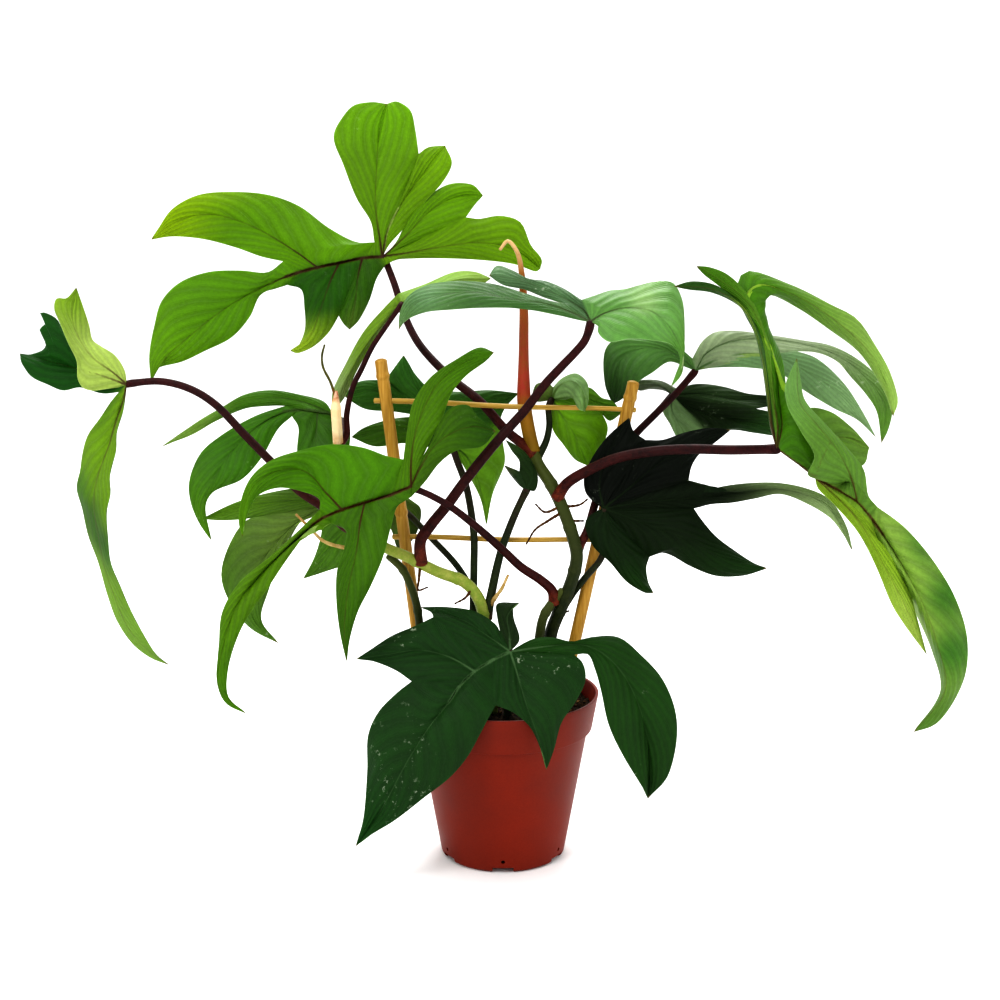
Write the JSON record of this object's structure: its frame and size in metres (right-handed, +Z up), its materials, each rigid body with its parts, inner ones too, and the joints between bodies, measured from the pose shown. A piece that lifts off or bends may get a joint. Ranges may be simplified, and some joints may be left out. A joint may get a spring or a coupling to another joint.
{
  "type": "potted florida green philodendron",
  "caption": "Climbing philodendron with deeply lobed green leaves on red-brown stalks, tied up a small bamboo trellis in a red-brown nursery pot.",
  "frame": {"origin": "centre of the pot's foot, on the surface it stands on", "axes": "+Z up along the pot's axis, +X to the right and -Y towards the front, where the picture was taken"},
  "size_m": [0.6253, 0.2202, 0.5089],
  "materials": {
    "pot_plastic": "satin red-brown moulded plastic",
    "potting_soil": "dark crumbly potting mix",
    "bamboo": "golden split-free cane with a light sheen",
    "vine_pale": "fresh yellow-green stem",
    "vine_olive": "olive mottled stem",
    "new_leaf_sheath": "smooth pink to orange sheath",
    "petiole": "dark red-brown stalk, slightly rough",
    "dry_sheath": "papery dry leaf sheath",
    "leaf_bright": "waxy bright green blade",
    "leaf_deep": "waxy mid green blade",
    "leaf_dark": "waxy dark green blade",
    "leaf_pale": "pale green underside of a blade"
  },
  "bodies": {
    "root": {"pot": "pot_plastic", "soil": "potting_soil", "stake_left": "bamboo", "stake_right": "bamboo", "rung_upper": "bamboo", "rung_lower": "bamboo", "vine_left": "vine_pale", "vine_centre": "vine_olive", "stem_left": "vine_olive", "sheath": "new_leaf_sheath", "cataphyll_cream": "dry_sheath", "dried_sheath_left": "dry_sheath", "dried_sheath_centre": "dry_sheath", "dried_tendril": "dry_sheath", "petiole_top": "petiole", "petiole_left_front": "petiole", "petiole_low_front": "petiole", "petiole_right_front": "petiole", "petiole_right_middle": "petiole", "petiole_right_back": "petiole", "petiole_right_dark": "petiole", "petiole_centre_front": "petiole", "petiole_far_left": "petiole", "petiole_left_back": "petiole", "petiole_left_middle": "petiole", "petiole_centre_back": "petiole", "petiole_centre_right": "petiole", "petiole_centre_small": "petiole", "petiole_arched": "petiole", "leaf_top": "leaf_bright", "leaf_left_front": "leaf_bright", "leaf_low_front": "leaf_deep", "leaf_right_front": "leaf_bright", "leaf_right_middle": "leaf_deep", "leaf_right_back": "leaf_dark", "leaf_right_dark": "leaf_dark", "leaf_centre_front": "leaf_deep", "leaf_far_left": "leaf_pale", "leaf_left_back": "leaf_deep", "leaf_left_middle": "leaf_deep", "leaf_centre_back": "leaf_dark", "leaf_centre_right": "leaf_pale", "leaf_centre_small": "leaf_dark", "leaf_arched": "leaf_pale"}
  },
  "joints": []
}
